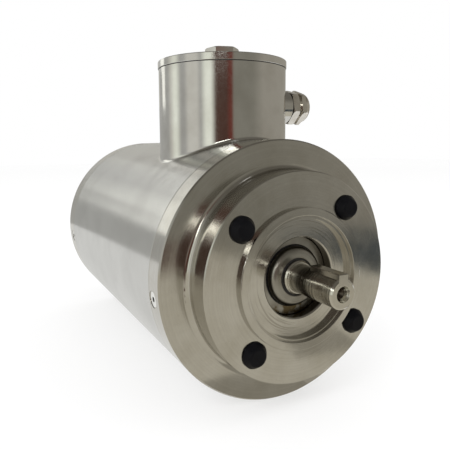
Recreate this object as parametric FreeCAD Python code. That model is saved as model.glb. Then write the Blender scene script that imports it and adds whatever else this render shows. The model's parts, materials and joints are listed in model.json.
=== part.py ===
import FreeCAD, Part
import math
import os

# Stainless three-phase motor with a small face flange, a round welded terminal box and a cable gland.
# Frame: the origin is the centre of the flange's mounting face, on the shaft's axis.
# +X runs out along the shaft, +Z up through the terminal box, +Y sideways to the cable gland.
# All lengths are in millimetres.

# Fits and clearances
slide_play = 0.05           # radial play where one turned part slides into another
hole_play = 0.25            # radial play of a screw in its clearance hole
air_gap = 0.3               # radial gap between rotor and stator
ball_play = 0.03            # gap between a ball and each raceway
pocket_play = 0.15          # gap between a ball and its cage pocket
lip_play = 0.1              # gap that stands for the oil film under the seal lip
turning_gap = 0.6           # axial gap between turning and standing faces
joint_chamfer = 0.3         # broken edge on each side of a joint line
seat_break = 0.6            # chamfer at the mouth of a seat
overrun = 1.0               # that a cutter reaches past the face it cuts
touching = 0.01             # gap below which an edge counts as lying on a face

# Front shield: face flange, pilot, rim
flange_margin = 10.0        # from the bolt circle to the flange's edge
flange_depth = 16.0
flange_root_radius = 3.0
flange_edge_break = 0.5
rim_diameter = 135.0
front_rim_width = 13.0
rim_edge_break = 0.7
pilot_diameter = 70.0
pilot_height = 2.5
pilot_ring_width = 4.0
pilot_step_width = 1.3
pilot_step_depth = 1.4
pilot_edge_rounding = 0.3
recess_depth = 1.5
bolt_offset = 7.5           # from the pilot to the bolt circle
bolt_count = 4
bolt_thread_diameter = 6.0
bolt_hole_depth = 14.0
bolt_seat_diameter = 13.4
bolt_seat_depth = 0.25
shield_clocking = 6.0       # degrees that both shields are turned about the shaft
web_thickness = 3.0
web_play = 3.0              # radial room round the shaft in the web
hub_wall = 5.0
hub_root_radius = 2.0
front_hub_overhang = 3.5    # hub beyond the bearing's retaining ring
rear_hub_overhang = 2.0     # hub beyond the bearing
rear_pocket_depth = 1.0     # between the rear shield's floor and the bearing pocket's floor

# Tapered plugs in the flange holes
plug_diameter = 12.7
plug_top_diameter = 8.4
plug_height = 4.2
plug_foot_height = 0.9
plug_foot_rounding = 0.4
plug_top_rounding = 1.5
plug_stem_length = 9.0
plug_stem_chamfer = 0.8

# Housing tube and its end rings
tube_wall = 3.0
tube_length = 184.0
rim_wall = 6.5              # of a shield's rim round the register
register_length = 9.0
register_gap = 0.5          # axial room past the end of a register
end_ring_depth = 8.0
end_ring_wall = 7.0         # of an end ring at its register
o_ring_width = 1.8
o_ring_depth = 1.6
o_ring_inset = 0.6
o_ring_rounding = 0.72
rear_rim_width = 20.0
rear_edge_radius = 4.0

# Radial screws that hold the shields
screw_count = 4
screw_inset = 4.4           # from the joint line to the screw's axis
screw_diameter = 4.0
screw_length = 8.5          # below the head
screw_head_diameter = 7.6
screw_socket_flats = 2.5
screw_socket_depth = 1.2
screw_end_chamfer = 0.4
spotface_diameter = 8.6
spotface_depth = 0.35

# Shaft
shaft_end_diameter = 14.0
shaft_end_length = 30.0     # from the mounting face
shaft_end_chamfer = 1.0
shoulder_setback = 1.2      # from the mounting face back to the shoulder
shoulder_chamfer = 0.7
shoulder_fillet = 0.5
rotor_seat_diameter = 22.0
rotor_shoulder_diameter = 20.0
centre_thread_diameter = 5.0
centre_thread_depth = 12.5
centre_mouth_play = 1.2     # radial, of the mouth beyond the thread
centre_mouth_depth = 2.4
key_width = 5.0
key_height = 5.0
key_length = 20.0
keyway_depth = 3.0
key_break = 0.25
keyway_setback = 10.0       # from the mounting face to the middle of the keyway's round end
shaft_tail_setback = 0.5    # from the rear bearing's outer side to the shaft's end
shaft_tail_rounding = 0.5

# Ball bearings
bearing_bore = 17.0
bearing_outside = 40.0
bearing_width = 12.0
ball_diameter = 6.747
ball_count = 8
race_land = 2.9             # radial thickness of a race beside its groove
outer_race_rounding = 0.6
inner_race_rounding = 0.3
side_shield_play = 0.3
cage_width = 8.0
cage_thickness = 1.3
side_shield_thickness = 0.4
side_shield_inset = 0.5
retaining_ring_thickness = 1.75
retaining_ring_depth = 1.25
retaining_ring_height = 3.2
retaining_ring_gap = 9.0
wave_spring_strip = 0.5
wave_spring_height = 2.4
wave_spring_waves = 3
wave_spring_width = 3.0
wave_spring_play = 0.4

# Shaft seal and slinger disc
seal_setback = 7.5          # from the mounting face back to the seal's face
seal_width = 7.0
seal_case_wall = 1.0
seal_face_play = 0.7        # radial room between the slinger and the seal's face
seal_lip_height = 2.4       # from the contact line to the spring's seat
seal_lip_length = 2.0       # from the case to the contact line
garter_setback = 5.1        # from the case back to the spring's groove
garter_wire = 1.4
garter_play = 0.2
slinger_diameter = 30.0
slinger_height = 3.7
slinger_wall = 1.0
slinger_edge_radius = 3.4
slinger_eye_rounding = 0.4
slinger_eye_wall = 0.9      # of the rubber hub inside the slinger's eye
slinger_hub_setback = 0.5   # from the slinger's face back to its hub

# Stator and rotor
stator_bore = 70.0
stator_slots = 24
slot_mouth = 2.4
slot_lip = 1.2
slot_wedge_height = 1.2
slot_width_inner = 5.2
slot_width_outer = 8.6
stator_yoke = 11.5          # of the core behind its slots
slot_liner = 0.3
end_winding_length = 28.0
end_winding_play = 3.5      # from the end winding to the rotor's side and to the tube
end_winding_gap = 11.0      # from the end winding to the end ring
end_winding_rounding = 7.0
end_winding_waist = 6.0     # that the winding draws in where it leaves the core
bar_embedding = 3.0         # of a slot's wires in the end winding
end_winding_lift = 2.0      # from the core to where the winding swells
rotor_slots = 18
rotor_bar_width_inner = 2.6
rotor_bar_width_outer = 4.8
rotor_bar_depth = 8.9
rotor_bridge = 0.8
cage_ring_length = 10.0
cage_ring_wall = 11.9
cage_ring_rounding = 1.5

# Terminal box
box_setback = 53.0          # from the front joint line back to the box's axis
box_diameter = 76.8
box_wall = 3.0
box_rise = 42.5             # from the barrel's top to the gasket's top
post_foot_depth = 12.0      # that the uncut posts start below the barrel's top
gasket_thickness = 0.45
gasket_width = 2.4
weld_leg = 2.2
lid_overhang = 0.4
lid_thickness = 4.2
lid_edge_break = 0.5
lid_lower_break = 0.3
lid_hollow_depth = 1.2
lid_spigot_depth = 8.0
lid_spigot_wall = 3.0
lid_thread_play = 0.15
lid_hexagon_flats = 18.0
lid_hexagon_height = 8.5
lid_hexagon_break = 0.7
lid_hexagon_turn = 42.0     # degrees
lead_hole_diameter = 20.0
lead_hole_offset = 22.0     # from the box's axis towards the flange

# Terminal block and its fittings
block_length = 32.0
block_width = 42.0
block_height = 8.0
block_clearance = 8.5       # under the block, above the barrel's top
block_offset = 8.0          # of the block's middle behind the box's axis
block_corner_radius = 2.0
post_diameter = 8.0
block_screw_diameter = 4.0
block_screw_head = 6.4
block_screw_inset = 4.0
block_screw_reach = 5.0     # of a block screw in its post
block_thread_depth = 6.0
countersink_play = 0.05
screw_slot_width = 1.0
screw_slot_depth = 0.9
stud_diameter = 4.0
stud_row_pitch = 16.0
stud_spacing = 13.0
stud_embedding = 6.0
stud_columns = 3
stud_rise = 7.0
nut_flats = 7.0
nut_height = 3.2
link_width = 8.0
link_thickness = 1.0
lug_thickness = 0.8
lug_eye_diameter = 7.2
lug_crimp_distance = 6.0    # from the stud to the lead's end
lug_crimp_length = 3.0
slant_lug_reach = 4.8       # forward, of the lugs that point aslant
lead_diameter = 2.2
lead_spacing = 2.9
lead_bend_radius = 3.0
lead_channel_length = 20.8  # that a rear lead runs beside the front row
lead_embedding = 4.0        # of a lead's foot in the end winding
earth_screw_diameter = 5.0
earth_head_diameter = 8.5
earth_head_height = 3.3
earth_boss_height = 5.0
earth_thread_length = 3.6
earth_washer_thickness = 1.0
earth_washer_overhang = 0.5
earth_slot_width = 1.2
earth_slot_depth = 1.5
earth_clearance = 2.5       # from the earth screw's head to the box wall

# Cable gland
gland_drop = 20.7           # of the gland's axis below the box's rim
gland_thread_diameter = 16.0
gland_collar_diameter = 21.0
gland_collar_length = 7.3
gland_washer_thickness = 0.6
gland_washer_inset = 0.9
gland_flats = 20.0
gland_hexagon_length = 4.9
gland_hexagon_turn = 16.0   # degrees
gland_hexagon_break = 0.8
gland_neck_diameter = 17.8
gland_neck_length = 2.0
gland_nut_flats = 20.0
gland_nut_turn = 20.0       # degrees
gland_nut_length = 8.2
gland_nut_hexagon = 2.6
gland_nut_rounding = 4.6
gland_nut_overlap = 3.7     # of the nut over the body's sleeve
gland_sleeve_wall = 0.9     # radial room in the sleeve for the seal
gland_lip = 2.0             # of the nut in front of the seal
gland_mouth_wall = 0.6
gland_bore_diameter = 10.5
gland_seal_bore = 9.0
gland_thread_play = 0.2
gland_inner_length = 3.0    # thread left inside the box

# Stations along the shaft
rim_front_x = -flange_depth
flange_foot_x = rim_front_x + flange_root_radius
front_joint_x = rim_front_x - front_rim_width
rear_joint_x = front_joint_x - tube_length
rear_end_x = rear_joint_x - rear_rim_width
front_floor_x = front_joint_x + register_length + register_gap
rear_floor_x = rear_joint_x - register_length - register_gap
shoulder_x = -shoulder_setback
seal_face_x = -seal_setback
web_front_x = seal_face_x - seal_width
web_back_x = web_front_x - web_thickness
front_bearing_x = web_back_x - bearing_width
ring_groove_x = front_bearing_x - retaining_ring_thickness
hub_end_x = ring_groove_x - front_hub_overhang
core_inset = end_ring_depth + end_winding_gap + end_winding_length
core_front_x = front_joint_x - core_inset
core_rear_x = rear_joint_x + core_inset
rear_pocket_x = rear_floor_x + rear_pocket_depth
rear_bearing_x = rear_pocket_x + wave_spring_height
rear_hub_x = rear_bearing_x + bearing_width + rear_hub_overhang
box_x = front_joint_x - box_setback
lead_hole_x = box_x + lead_hole_offset

# Radii that several pieces share
rim_radius = rim_diameter / 2
tube_bore_radius = rim_radius - tube_wall
rim_bore_radius = rim_radius - rim_wall + slide_play
register_radius = rim_radius - rim_wall
end_ring_bore_radius = register_radius - end_ring_wall
seat_radius = bearing_outside / 2
hub_radius = seat_radius + hub_wall
journal_radius = bearing_bore / 2
pitch_radius = (bearing_bore + bearing_outside) / 4
seal_face_radius = slinger_diameter / 2 + seal_face_play
rotor_radius = stator_bore / 2 - air_gap
end_winding_inner = stator_bore / 2 + end_winding_play
end_winding_outer = tube_bore_radius - end_winding_play
box_radius = box_diameter / 2
box_bore_radius = box_radius - box_wall
pilot_radius = pilot_diameter / 2
bolt_circle_radius = pilot_radius + bolt_offset
flange_radius = bolt_circle_radius + flange_margin

# Heights above the shaft's axis
box_rim_height = rim_radius + box_rise
block_base_height = rim_radius + block_clearance
gland_height = box_rim_height - gland_drop


# Building blocks

def corner_arc(before, corner, after, radius):
    """Start, middle and end of the arc that rounds a corner of an outline."""
    towards_before = (before - corner).normalize()
    towards_after = (after - corner).normalize()
    half_angle = towards_before.getAngle(towards_after) / 2
    bisector = (towards_before + towards_after).normalize()
    start = corner + towards_before * (radius / math.tan(half_angle))
    end = corner + towards_after * (radius / math.tan(half_angle))
    middle = corner + bisector * (radius / math.sin(half_angle) - radius)
    return start, middle, end


def outline(corners, closed=True):
    """Wire through 3D corners given as (point, rounding radius)."""
    last = len(corners) - 1
    edges = []
    starts = []
    for index, (corner, radius) in enumerate(corners):
        at_end = not closed and index in (0, last)
        if radius == 0 or at_end:
            starts.append((corner, corner))
            continue
        before = corners[index - 1][0]
        after = corners[(index + 1) % len(corners)][0]
        start, middle, end = corner_arc(before, corner, after, radius)
        starts.append((start, end))
        edges.append((index, Part.Arc(start, middle, end).toShape()))
    arcs = dict(edges)
    path = []
    for index in range(len(corners) if closed else last):
        if index in arcs:
            path.append(arcs[index])
        leave = starts[index][1]
        reach = starts[(index + 1) % len(corners)][0]
        if leave.distanceToPoint(reach) > 1e-6:
            path.append(Part.LineSegment(leave, reach).toShape())
    return Part.Wire(path)


def turned(corners):
    """Solid of revolution about X from corners (x, radius) or (x, radius, rounding)."""
    points = [(FreeCAD.Vector(c[0], 0, c[1]), c[2] if len(c) > 2 else 0) for c in corners]
    face = Part.Face(outline(points))
    return face.revolve(FreeCAD.Vector(0, 0, 0), FreeCAD.Vector(1, 0, 0), 360)


def ring(x_low, x_high, inner, outer):
    """Plain ring or, with no inner radius, a rod along X."""
    return turned([(x_low, inner), (x_high, inner), (x_high, outer), (x_low, outer)])


def prism(points, x_low, x_high):
    """Straight prism along X over (y, z) points."""
    corners = [FreeCAD.Vector(x_low, y, z) for y, z in points]
    face = Part.Face(Part.makePolygon(corners + corners[:1]))
    return face.extrude(FreeCAD.Vector(x_high - x_low, 0, 0))


def hexagon(flats, x_low, x_high, turn=0.0):
    """Hexagonal prism along X; with no turn two corners lie at +Y and -Y."""
    reach = flats / math.sqrt(3)
    angles = [math.radians(60 * step + turn) for step in range(6)]
    return prism([(reach * math.cos(a), reach * math.sin(a)) for a in angles], x_low, x_high)


def upright(shape, x, y=0.0, z=0.0):
    """Turns +X up to +Z and moves the foot to a place."""
    return shape.rotated(FreeCAD.Vector(0, 0, 0), FreeCAD.Vector(0, 1, 0), -90).translated(
        FreeCAD.Vector(x, y, z))


def sideways(shape, x=0.0, z=0.0):
    """Turns +X to +Y and moves it to a place."""
    return shape.rotated(FreeCAD.Vector(0, 0, 0), FreeCAD.Vector(0, 0, 1), 90).translated(
        FreeCAD.Vector(x, 0, z))


def about_shaft(shape, degrees):
    return shape.rotated(FreeCAD.Vector(0, 0, 0), FreeCAD.Vector(1, 0, 0), degrees)


def around(shape, count, first=0.0):
    """Copies of a shape spread evenly about the shaft."""
    return [about_shaft(shape, first + 360 * step / count) for step in range(count)]


def group(shapes):
    return Part.makeCompound(shapes)


def save(name, shape):
    shape.exportStep("parts/" + name + ".step")


# Shields and what holds them

def screw_stations():
    """Places along the shaft of the two rows of shield screws."""
    return [front_joint_x + screw_inset, rear_joint_x - screw_inset]


def screw_seats(x):
    """Spotfaces and clearance holes of one shield's radial screws."""
    floor = rim_radius - spotface_depth
    hole_radius = screw_diameter / 2 + hole_play
    seat_edge = screw_head_diameter / 2 + hole_play
    cutter = turned([
        (register_radius - register_gap, 0),
        (register_radius - register_gap, hole_radius),
        (floor - (seat_edge - hole_radius), hole_radius),
        (floor, seat_edge),
        (floor, spotface_diameter / 2),
        (rim_radius + overrun, spotface_diameter / 2),
        (rim_radius + overrun, 0),
    ])
    return around(sideways(cutter, x), screw_count, shield_clocking)


def flange_holes():
    """Threaded holes of the face flange, each with its shallow spotface."""
    hole = turned([
        (-bolt_hole_depth - bolt_thread_diameter / 4, 0),
        (-bolt_hole_depth, bolt_thread_diameter / 2),
        (-bolt_seat_depth, bolt_thread_diameter / 2),
        (-bolt_seat_depth, bolt_seat_diameter / 2),
        (overrun, bolt_seat_diameter / 2),
        (overrun, 0),
    ]).translated(FreeCAD.Vector(0, bolt_circle_radius, 0))
    return around(hole, bolt_count, shield_clocking + 180 / bolt_count)


def mounting_flange():
    """Face flange with its pilot, recess, seal seat and the spigot that centres it in the shield."""
    step_floor = pilot_height - pilot_step_depth
    ring_bore = pilot_radius - pilot_ring_width
    step_bore = ring_bore - pilot_step_width
    body = turned([
        (-recess_depth, seat_radius + seat_break),
        (-recess_depth, step_bore),
        (step_floor, step_bore),
        (step_floor, ring_bore),
        (pilot_height, ring_bore, pilot_edge_rounding),
        (pilot_height, pilot_radius, pilot_edge_rounding),
        (0, pilot_radius),
        (0, flange_radius - flange_edge_break),
        (-flange_edge_break, flange_radius),
        (flange_foot_x, flange_radius),
        (flange_foot_x, hub_radius),
        (web_back_x, hub_radius),
        (web_back_x, journal_radius + web_play),
        (web_front_x, journal_radius + web_play),
        (web_front_x, seat_radius),
        (-recess_depth - seat_break, seat_radius),
    ])
    return body.cut(flange_holes())


def front_shield():
    """Rim, plate and bearing hub behind the face flange."""
    body = turned([
        (flange_foot_x, hub_radius),
        (flange_foot_x, flange_radius),
        (rim_front_x, flange_radius, flange_root_radius),
        (rim_front_x, rim_radius - rim_edge_break),
        (rim_front_x - rim_edge_break, rim_radius),
        (front_joint_x + joint_chamfer, rim_radius),
        (front_joint_x, rim_radius - joint_chamfer),
        (front_joint_x, rim_bore_radius + joint_chamfer),
        (front_joint_x + joint_chamfer, rim_bore_radius),
        (front_floor_x, rim_bore_radius),
        (front_floor_x, hub_radius, hub_root_radius),
        (hub_end_x, hub_radius),
        (hub_end_x, seat_radius + seat_break),
        (hub_end_x + seat_break, seat_radius),
        (ring_groove_x, seat_radius),
        (ring_groove_x, seat_radius + retaining_ring_depth),
        (front_bearing_x, seat_radius + retaining_ring_depth),
        (front_bearing_x, seat_radius),
        (web_back_x, seat_radius),
        (web_back_x, hub_radius),
    ])
    return body.cut(flange_holes() + screw_seats(screw_stations()[0]))


def rear_shield():
    body = turned([
        (rear_end_x, 0),
        (rear_end_x, rim_radius, rear_edge_radius),
        (rear_joint_x - joint_chamfer, rim_radius),
        (rear_joint_x, rim_radius - joint_chamfer),
        (rear_joint_x, rim_bore_radius + joint_chamfer),
        (rear_joint_x - joint_chamfer, rim_bore_radius),
        (rear_floor_x, rim_bore_radius),
        (rear_floor_x, hub_radius, hub_root_radius),
        (rear_hub_x, hub_radius),
        (rear_hub_x, seat_radius + seat_break),
        (rear_hub_x - seat_break, seat_radius),
        (rear_pocket_x, seat_radius),
        (rear_pocket_x, 0),
    ])
    return body.cut(screw_seats(screw_stations()[1]))


def shield_screw():
    """Countersunk socket screw along +X whose head ends flush with the spotface."""
    head_top = rim_radius - spotface_depth
    head_foot = head_top - (screw_head_diameter - screw_diameter) / 2
    tip = head_foot - screw_length
    body = turned([
        (tip, 0),
        (tip, screw_diameter / 2 - screw_end_chamfer),
        (tip + screw_end_chamfer, screw_diameter / 2),
        (head_foot, screw_diameter / 2),
        (head_top, screw_head_diameter / 2),
        (head_top, 0),
    ])
    return body.cut(hexagon(screw_socket_flats, head_top - screw_socket_depth, head_top + overrun))


def shield_screws():
    screw = shield_screw()
    screws = []
    for x in screw_stations():
        screws += around(sideways(screw, x), screw_count, shield_clocking)
    return group(screws)


def end_ring(joint_x, outward):
    """Ring welded into the tube's end; its register reaches into the shield. Outward is +1 or -1."""
    tip = joint_x + outward * register_length
    inside = joint_x - outward * end_ring_depth
    groove_near = tip - outward * o_ring_inset
    groove_far = groove_near - outward * o_ring_width
    groove_floor = register_radius - o_ring_depth
    body = turned([
        (inside, end_ring_bore_radius),
        (tip, end_ring_bore_radius),
        (tip, register_radius),
        (groove_near, register_radius),
        (groove_near, groove_floor),
        (groove_far, groove_floor),
        (groove_far, register_radius),
        (joint_x, register_radius),
        (joint_x, tube_bore_radius),
        (inside, tube_bore_radius),
    ])
    hole = ring(end_ring_bore_radius - overrun, register_radius + overrun, 0, screw_diameter / 2)
    screw_x = joint_x + outward * screw_inset
    return body.cut(around(sideways(hole, screw_x), screw_count, shield_clocking))


def end_rings():
    return group([end_ring(front_joint_x, 1), end_ring(rear_joint_x, -1)])


def shield_o_ring(joint_x, outward):
    near = joint_x + outward * (register_length - o_ring_inset)
    far = near - outward * o_ring_width
    floor = register_radius - o_ring_depth
    return turned([
        (near, floor, o_ring_rounding),
        (near, rim_bore_radius, o_ring_rounding),
        (far, rim_bore_radius, o_ring_rounding),
        (far, floor, o_ring_rounding),
    ])


def shield_o_rings():
    return group([shield_o_ring(front_joint_x, 1), shield_o_ring(rear_joint_x, -1)])


def housing_tube():
    body = turned([
        (rear_joint_x, tube_bore_radius),
        (rear_joint_x, rim_radius - joint_chamfer),
        (rear_joint_x + joint_chamfer, rim_radius),
        (front_joint_x - joint_chamfer, rim_radius),
        (front_joint_x, rim_radius - joint_chamfer),
        (front_joint_x, tube_bore_radius),
    ])
    hole = upright(ring(0, rim_diameter, 0, lead_hole_diameter / 2), lead_hole_x)
    return body.cut(hole)


def flange_plug():
    """Tapered plug with its stem in the flange hole, pointing along +X."""
    foot_x = -bolt_seat_depth
    stem_x = foot_x - plug_stem_length
    stem_radius = bolt_thread_diameter / 2 - slide_play
    return turned([
        (stem_x, 0),
        (stem_x, stem_radius - plug_stem_chamfer),
        (stem_x + plug_stem_chamfer, stem_radius),
        (foot_x, stem_radius),
        (foot_x, plug_diameter / 2),
        (plug_foot_height, plug_diameter / 2, plug_foot_rounding),
        (plug_height, plug_top_diameter / 2, plug_top_rounding),
        (plug_height, 0),
    ]).translated(FreeCAD.Vector(0, bolt_circle_radius, 0))


def flange_plugs():
    return group(around(flange_plug(), bolt_count, shield_clocking + 180 / bolt_count))


# Shaft, key and slinger

def shaft():
    half_end = shaft_end_diameter / 2
    step_top = journal_radius - shoulder_chamfer
    body = turned([
        (rear_bearing_x + shaft_tail_setback, 0),
        (rear_bearing_x + shaft_tail_setback, journal_radius, shaft_tail_rounding),
        (rear_bearing_x + bearing_width, journal_radius),
        (rear_bearing_x + bearing_width, rotor_shoulder_diameter / 2),
        (core_rear_x - cage_ring_length, rotor_shoulder_diameter / 2),
        (core_rear_x - cage_ring_length, rotor_seat_diameter / 2),
        (core_front_x + cage_ring_length, rotor_seat_diameter / 2),
        (core_front_x + cage_ring_length, rotor_shoulder_diameter / 2),
        (front_bearing_x, rotor_shoulder_diameter / 2),
        (front_bearing_x, journal_radius),
        (shoulder_x - shoulder_chamfer, journal_radius),
        (shoulder_x, step_top),
        (shoulder_x, half_end, shoulder_fillet),
        (shaft_end_length - shaft_end_chamfer, half_end),
        (shaft_end_length, half_end - shaft_end_chamfer),
        (shaft_end_length, centre_thread_diameter / 2 + centre_mouth_play),
        (shaft_end_length - centre_mouth_depth, centre_thread_diameter / 2),
        (shaft_end_length - centre_thread_depth, centre_thread_diameter / 2),
        (shaft_end_length - centre_thread_depth - centre_thread_diameter / 4, 0),
    ])
    floor = half_end - keyway_depth
    slot = Part.makeBox(
        shaft_end_length - keyway_setback + overrun, key_width, keyway_depth + overrun,
        FreeCAD.Vector(keyway_setback, -key_width / 2, floor))
    round_end = Part.makeCylinder(
        key_width / 2, keyway_depth + overrun, FreeCAD.Vector(keyway_setback, 0, floor))
    return body.cut([slot, round_end])


def shaft_key():
    floor = shaft_end_diameter / 2 - keyway_depth
    corner = FreeCAD.Vector(shaft_end_length - key_length, -key_width / 2, floor)
    bar = Part.makeBox(key_length, key_width, key_height, corner)
    top_edges = [edge for edge in bar.Edges if edge.BoundBox.ZMin > floor + key_height - touching]
    return bar.makeChamfer(key_break, top_edges)


def slinger_case():
    back_x = seal_face_x + turning_gap
    front_x = back_x + slinger_height
    outer = slinger_diameter / 2
    eye = journal_radius + slinger_eye_wall
    return turned([
        (back_x, outer - slinger_wall),
        (back_x, outer),
        (front_x, outer, slinger_edge_radius),
        (front_x, eye, slinger_eye_rounding),
        (front_x - slinger_wall, eye),
        (front_x - slinger_wall, outer - slinger_wall, slinger_edge_radius - slinger_wall),
    ])


def slinger_hub():
    """Rubber sleeve that grips the shaft inside the slinger's eye and widens behind its wall."""
    back_x = seal_face_x + turning_gap
    front_x = back_x + slinger_height
    eye = journal_radius + slinger_eye_wall
    return turned([
        (back_x, journal_radius),
        (front_x - slinger_hub_setback, journal_radius),
        (front_x - slinger_hub_setback, eye),
        (front_x - slinger_wall, eye),
        (front_x - slinger_wall, eye + slinger_wall * 2),
        (back_x, eye + slinger_wall),
    ])


# Shaft seal

def seal_case():
    outer = seat_radius
    inner = outer - seal_case_wall
    return turned([
        (web_front_x, inner),
        (web_front_x, outer - seal_case_wall / 2),
        (web_front_x + seal_case_wall / 2, outer),
        (seal_face_x, outer, seal_case_wall / 2),
        (seal_face_x, seal_face_radius),
        (seal_face_x - seal_case_wall, seal_face_radius),
        (seal_face_x - seal_case_wall, inner),
    ])


def seal_lip():
    """Rubber bonded behind the case's face, with the lip under its garter spring."""
    front = seal_face_x - seal_case_wall
    root = seat_radius - seal_case_wall
    contact = journal_radius + lip_play
    shelf = contact + seal_lip_height
    lip = seal_lip_length / 2
    spring_low = front - garter_setback
    spring_high = spring_low + garter_wire + garter_play
    bank = shelf + garter_wire / 2
    return turned([
        (front, root),
        (front, bank + lip),
        (front - lip / 2, contact + lip),
        (front - seal_lip_length, contact),
        (spring_high, contact + lip),
        (spring_low - lip / 2, contact + lip),
        (spring_low - lip / 2, bank),
        (spring_low, bank),
        (spring_low, shelf),
        (spring_high, shelf),
        (spring_high, bank),
        (front - lip, bank + seal_lip_length),
        (front - lip, root),
    ])


def garter_spring():
    shelf = journal_radius + lip_play + seal_lip_height
    x = seal_face_x - seal_case_wall - garter_setback + (garter_wire + garter_play) / 2
    return Part.makeTorus(
        shelf + garter_wire / 2, garter_wire / 2, FreeCAD.Vector(x, 0, 0), FreeCAD.Vector(1, 0, 0))


# Ball bearings

def race_groove(x_middle):
    groove_radius = ball_diameter / 2 + ball_play
    return Part.makeTorus(
        pitch_radius, groove_radius, FreeCAD.Vector(x_middle, 0, 0), FreeCAD.Vector(1, 0, 0))


def outer_race(x):
    inner = seat_radius - race_land
    body = turned([
        (x, inner),
        (x, seat_radius, outer_race_rounding),
        (x + bearing_width, seat_radius, outer_race_rounding),
        (x + bearing_width, inner),
    ])
    return body.cut(race_groove(x + bearing_width / 2))


def inner_race(x):
    outer = journal_radius + race_land
    body = turned([
        (x, journal_radius),
        (x, outer, inner_race_rounding),
        (x + bearing_width, outer, inner_race_rounding),
        (x + bearing_width, journal_radius),
    ])
    return body.cut(race_groove(x + bearing_width / 2))


def ball_places(x):
    middle = x + bearing_width / 2
    angles = [math.radians(360 * step / ball_count) for step in range(ball_count)]
    return [FreeCAD.Vector(middle, pitch_radius * math.cos(a), pitch_radius * math.sin(a)) for a in angles]


def bearing_balls(x):
    return group([Part.makeSphere(ball_diameter / 2, place) for place in ball_places(x)])


def bearing_cage(x):
    middle = x + bearing_width / 2
    body = ring(middle - cage_width / 2, middle + cage_width / 2,
                pitch_radius - cage_thickness / 2, pitch_radius + cage_thickness / 2)
    pocket = ball_diameter / 2 + pocket_play
    return body.cut([Part.makeSphere(pocket, place) for place in ball_places(x)])


def side_shields(x):
    """Two pressed discs held in the outer race, clear of the inner race."""
    inner = journal_radius + race_land + side_shield_play
    outer = seat_radius - race_land
    low = ring(x + side_shield_inset, x + side_shield_inset + side_shield_thickness, inner, outer)
    high_end = x + bearing_width - side_shield_inset
    high = ring(high_end - side_shield_thickness, high_end, inner, outer)
    return group([low, high])


def bearing_retaining_ring():
    """Sprung ring in its groove behind the front bearing, with an open gap at the bottom."""
    outer = seat_radius + retaining_ring_depth
    inner = outer - retaining_ring_height
    body = ring(ring_groove_x, front_bearing_x, inner, outer)
    gap = Part.makeBox(
        retaining_ring_thickness + 2 * overrun, retaining_ring_gap, outer + overrun,
        FreeCAD.Vector(ring_groove_x - overrun, -retaining_ring_gap / 2, -outer - overrun))
    return body.cut(gap)


def wave_curve(radius, x_low):
    """Closed wavy line about the shaft, with its low points on the pocket's floor."""
    rise = (wave_spring_height - wave_spring_strip) / 2
    steps = 12 * wave_spring_waves
    points = []
    for step in range(steps):
        angle = 2 * math.pi * step / steps
        x = x_low + rise * (1 - math.cos(wave_spring_waves * angle))
        points.append(FreeCAD.Vector(x, radius * math.cos(angle), radius * math.sin(angle)))
    curve = Part.BSplineCurve()
    curve.interpolate(points, PeriodicFlag=True)
    return curve.toShape()


def wave_spring():
    outer = seat_radius - wave_spring_play
    face = Part.makeRuledSurface(
        wave_curve(outer - wave_spring_width, rear_pocket_x), wave_curve(outer, rear_pocket_x))
    return face.extrude(FreeCAD.Vector(wave_spring_strip, 0, 0))


# Stator and rotor

def stator_slot_points(margin, low_radius):
    """Slot body outline as (y, z) points, shrunk by a margin for the liner."""
    half_inner = slot_width_inner / 2 - margin
    half_outer = slot_width_outer / 2 - margin
    top = tube_bore_radius - stator_yoke - margin
    low = low_radius + margin
    return [(-half_inner, low), (half_inner, low), (half_outer, top), (-half_outer, top)]


def slot_body_radius():
    return stator_bore / 2 + slot_lip + slot_wedge_height


def wedge_points():
    low = stator_bore / 2 + slot_lip
    high = slot_body_radius()
    return [(-slot_mouth / 2, low), (slot_mouth / 2, low),
            (slot_width_inner / 2, high), (-slot_width_inner / 2, high)]


def stator_core():
    body = ring(core_rear_x, core_front_x, stator_bore / 2, tube_bore_radius)
    low = core_rear_x - overrun
    high = core_front_x + overrun
    side = slot_mouth / 2
    floor = stator_bore / 2 - overrun
    lip = stator_bore / 2 + slot_lip
    mouth = prism([(-side, floor), (side, floor), (side, lip), (-side, lip)], low, high)
    wedge = prism(wedge_points(), low, high)
    slot = prism(stator_slot_points(0, slot_body_radius()), low, high)
    whole = mouth.fuse([wedge, slot]).removeSplitter()
    return body.cut(around(whole, stator_slots))


def slot_wedges():
    wedge = prism(wedge_points(), core_rear_x, core_front_x)
    return group(around(wedge, stator_slots))


def end_winding(x_core, outward):
    tip = x_core + outward * end_winding_length
    root = x_core + outward * end_winding_lift
    return turned([
        (root, end_winding_inner),
        (tip, end_winding_inner, end_winding_rounding),
        (tip, end_winding_outer, end_winding_rounding),
        (root, end_winding_outer - end_winding_waist, end_winding_lift),
    ])


def stator_winding():
    bar = prism(stator_slot_points(slot_liner, slot_body_radius()),
                core_rear_x - bar_embedding, core_front_x + bar_embedding)
    ends = [end_winding(core_front_x, 1), end_winding(core_rear_x, -1)]
    wound = ends[0].fuse([ends[1]] + around(bar, stator_slots))
    return wound.cut([round_lead(lead_route(*place)) for place in stud_places()])


def rotor_bar_points():
    outer = rotor_radius - rotor_bridge
    inner = outer - rotor_bar_depth
    half_in = rotor_bar_width_inner / 2
    half_out = rotor_bar_width_outer / 2
    return [(-half_in, inner), (half_in, inner), (half_out, outer), (-half_out, outer)]


def rotor_core():
    body = ring(core_rear_x, core_front_x, rotor_seat_diameter / 2, rotor_radius)
    slot = prism(rotor_bar_points(), core_rear_x - overrun, core_front_x + overrun)
    return body.cut(around(slot, rotor_slots))


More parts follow.
